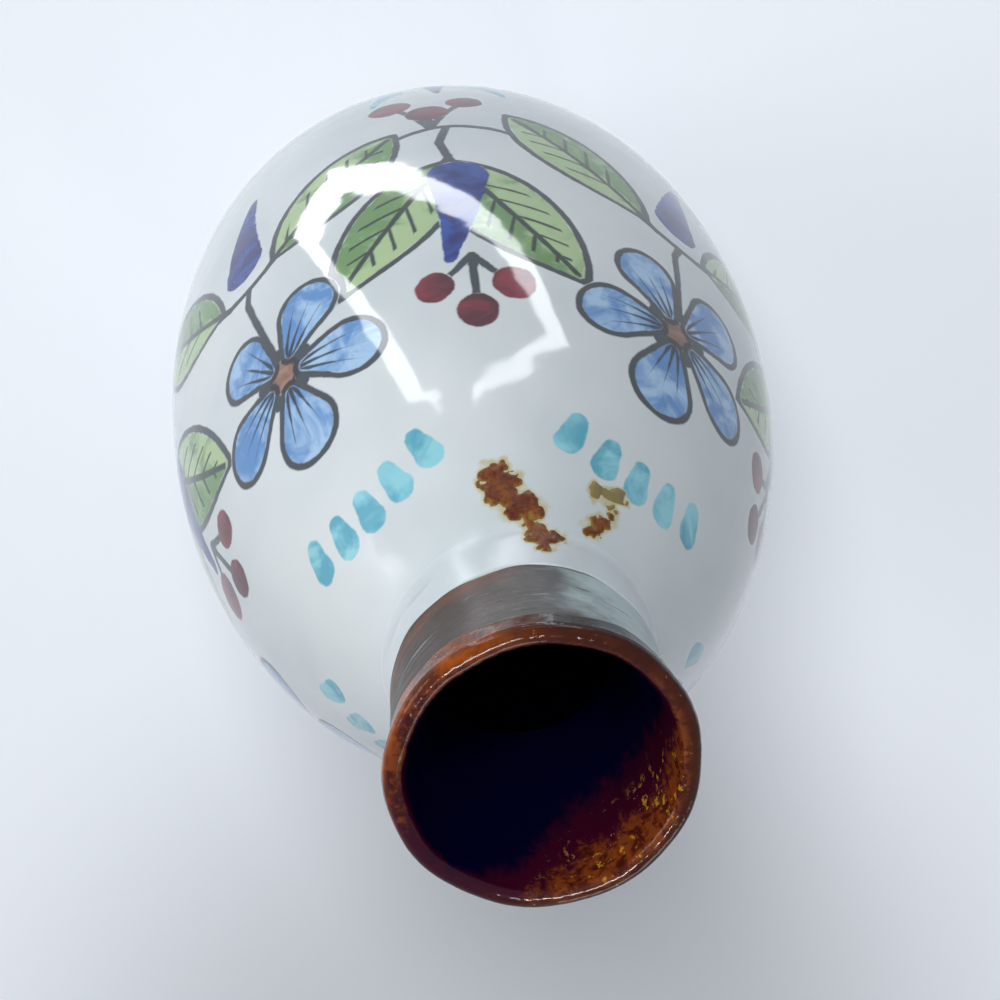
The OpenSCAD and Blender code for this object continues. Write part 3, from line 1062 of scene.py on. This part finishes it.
def bareClay(tree, look):
    cloud = grain(tree, look["cloud"])
    grit = grain(tree, look["grit"], 3, 0.7)
    turned = grain(tree, look["turning"], 3, 0.6, squash=(1, 1, 14))
    colour = blendTones(span(cloud, 0.35, 0.68), look["pale"], look["warm"])
    colour = blendTones(span(grit, 0.63, 0.7, 0.0, 0.8), colour, look["speck"])
    return colour, span(grit, 0.3, 0.7, *look["roughness"]), plus(turned, times(grit, 0.5))


def jointSlip(tree, look):
    cloud = grain(tree, look["cloud"], 4)
    return blendTones(span(cloud, 0.3, 0.7), look["cream"], look["clay"]), look["roughness"], cloud


def dressClay():
    clay = finish("bare_clay", clayLook, bareClay)
    slip = finish("joint_slip", slipLook, jointSlip)
    for name in ("foot_ring", "lower_bowl", "upper_dome", "neck_collar", "lip_roll"):
        wear(nodes[name], clay)
    for name in ("belly_slip", "neck_slip"):
        wear(nodes[name], slip)
    print("clay dressed")


# pale floor and room
stageLook = {
    "floorRadius": 3.0,
    "floorSides": 96,
    "floor": "E4E8EE",
    "floorRoughness": 0.9,
    "back": "E7ECF4",
    "glow": 0.30,  # added to the floor in the picture and in reflections
    "shadeSpot": (0.014, 0.129),  # painted shadow: no paleness is added round this X and Y
    "shadeFrom": 0.03,
    "shadeTo": 0.095,
    "fadeFrom": 0.14,  # it fades into the background between these radii
    "fadeTo": 0.45,
    "skyLight": 0.20,
}


def setFloor():
    look = stageLook
    wide, sides = look["floorRadius"], look["floorSides"]
    ring = [(math.cos(a) * wide, math.sin(a) * wide, 0) for a in ringTurns(sides)[0]]
    floor = addMesh("floor", ring, [list(range(sides))])
    material, tree = newMaterial("pale_floor")
    shader = tree.nodes["Principled BSDF"]
    x, y = axis(tree, "X"), axis(tree, "Y")

    def spread(a, b):
        return maths("SQRT", plus(times(a, a), times(b, b)))

    path = add(tree, "LightPath").outputs
    seen = maths("MAXIMUM", path["Is Camera Ray"], path["Is Glossy Ray"])
    # painted shadow round the shade spot, where the floor gets no added paleness
    spotX, spotY = look["shadeSpot"]
    shaded = spread(less(x, spotX), less(y, spotY))
    pale = span(shaded, look["shadeFrom"], look["shadeTo"], 0.0, look["glow"])
    feed(shader, {
        "Roughness": look["floorRoughness"],
        "Base Color": tone(look["floor"]),
        "Specular IOR Level": 0.0,
        "Emission Color": tone(look["back"]),
        "Emission Strength": times(seen, pale),
    })
    far = span(spread(x, y), look["fadeFrom"], look["fadeTo"])
    far = times(far, path["Is Camera Ray"])
    glow = add(tree, "Emission", {"Color": tone(look["back"]), "Strength": 1.0}).outputs[0]
    mixed = add(tree, "MixShader", {0: far, 1: shader.outputs[0], 2: glow}).outputs[0]
    tree.links.new(mixed, tree.nodes["Material Output"].inputs["Surface"])
    floor.data.materials.append(material)


def setRoom():
    # pale to the camera and in reflections, plain light on the vase
    world = bpy.data.worlds.new("pale_room")
    bpy.context.scene.world = world
    world.use_nodes = True
    tree = world.node_tree
    back = tree.nodes["Background"]
    back.inputs["Color"].default_value = tone(stageLook["back"])
    path = add(tree, "LightPath").outputs
    seen = maths("MAXIMUM", path["Is Camera Ray"], path["Is Transmission Ray"])
    seen = maths("MAXIMUM", seen, path["Is Glossy Ray"])
    tree.links.new(span(seen, 0, 1, stageLook["skyLight"], 1.0), back.inputs["Strength"])


lamps = {
    "key_lamp": {"from": (0.05, -0.64, 0.95), "size": 0.35, "power": 6.9, "mirrored": False},
    "side_lamp": {"from": (0.98, -0.43, 0.27), "size": 0.52, "power": 4.6, "mirrored": True},
    "rear_lamp": {"from": (-0.33, 0.9, 0.52), "size": 0.25, "power": 0.9, "mirrored": True},
}
lampAim = (0, 0, 60 * mm)


def setLamp(name, look):
    data = bpy.data.lights.new(name, "AREA")
    data.shape = "DISK"
    data.size = look["size"]
    data.energy = look["power"]
    lamp = bpy.data.objects.new(name, data)
    lamp.location = look["from"]
    lamp.rotation_euler = (Vector(lampAim) - lamp.location).to_track_quat("-Z", "Y").to_euler()
    lamp.visible_camera = False
    lamp.visible_glossy = look["mirrored"]
    bpy.context.scene.collection.objects.link(lamp)


# bright shapes that show only as reflections in the glaze
windowBars = {
    # mm on the floor in front, outer and inner corner of each bend
    "bends": (
        ((-20, -910), (-40, -620)), ((-215, -520), (-150, -450)), ((-170, -225), (-140, -235)),
        ((-37, -96), (-33, -113)), ((20, -48), (22, -60)), ((41, -54), (42, -69)),
        ((215, -530), (140, -515)), ((160, -780), (90, -615)),
    ),
    "height": 1 * mm,
    "glow": 9.0,
}
panes = {
    "rear_pane": {"from": (-0.42, 0.70, 0.33), "along": (0.44, 0, 0), "up": (0, 0, 0.30), "glow": 8.0},
    "top_pane": {"from": (-0.06, -0.03, 0.86), "along": (0.34, 0, 0), "up": (0, 0.08, 0), "glow": 110.0},
}
mirrorTone = "F6FAFF"


def mirrorLight(name, points, faces, strength):
    light = addMesh(name, points, faces)
    material, tree = newMaterial(name)
    glow = add(tree, "Emission", {"Color": tone(mirrorTone), "Strength": strength}).outputs[0]
    tree.links.new(glow, tree.nodes["Material Output"].inputs["Surface"])
    light.data.materials.append(material)
    light.visible_camera = False
    light.visible_diffuse = False
    light.visible_shadow = False
    light.visible_transmission = False


def setMirrorLights():
    bends = windowBars["bends"]
    corners = [(x * mm, y * mm, windowBars["height"]) for bend in bends for x, y in bend]
    bars = [(i, i + 2, i + 3, i + 1) for i in range(0, 2 * len(bends) - 2, 2)]
    mirrorLight("window_bars", corners, bars, windowBars["glow"])
    for name, pane in panes.items():
        corner, along, up = Vector(pane["from"]), Vector(pane["along"]), Vector(pane["up"])
        corners = [corner, corner + along, corner + along + up, corner + up]
        mirrorLight(name, corners, [(0, 1, 2, 3)], pane["glow"])


def setStage():
    bpy.context.scene.view_settings.view_transform = "Standard"
    setFloor()
    setRoom()
    for name, look in lamps.items():
        setLamp(name, look)
    setMirrorLights()
    print("stage set")


view = {
    "away": 269.3 * mm,  # from the middle of the mouth
    "tilt": 30.54,  # degrees off the vase's axis, towards the front
    "roll": 11.8,
    "aim": (-1.35 * mm, 0, 70.3 * mm),
    "lens": 109.9,
    "sensor": 36,
    "nearest": 0.01,
}


def setCamera():
    tilt, roll = math.radians(view["tilt"]), math.radians(view["roll"])
    spot = Vector((0, -math.sin(tilt), math.cos(tilt))) * view["away"] + Vector((0, 0, topZ))
    back = (spot - Vector(view["aim"])).normalized()
    flat = Vector((0, -1, 0))
    up = (flat - back * flat.dot(back)).normalized()
    up = (up * math.cos(roll) + up.cross(back) * math.sin(roll)).normalized()
    right = up.cross(back)
    data = bpy.data.cameras.new("camera")
    data.sensor_width = view["sensor"]
    data.sensor_fit = "HORIZONTAL"
    data.lens = view["lens"]
    data.clip_start = view["nearest"]
    camera = bpy.data.objects.new("camera", data)
    turned = Matrix((right, up, back)).transposed().to_4x4()
    camera.matrix_world = Matrix.Translation(spot) @ turned
    bpy.context.scene.collection.objects.link(camera)
    bpy.context.scene.camera = camera
    print("camera set")


setStage()
setCamera()
dressClay()
makeBodyGlaze()
makeIronBand()
makeLip()
makeLining()
makeRuns()
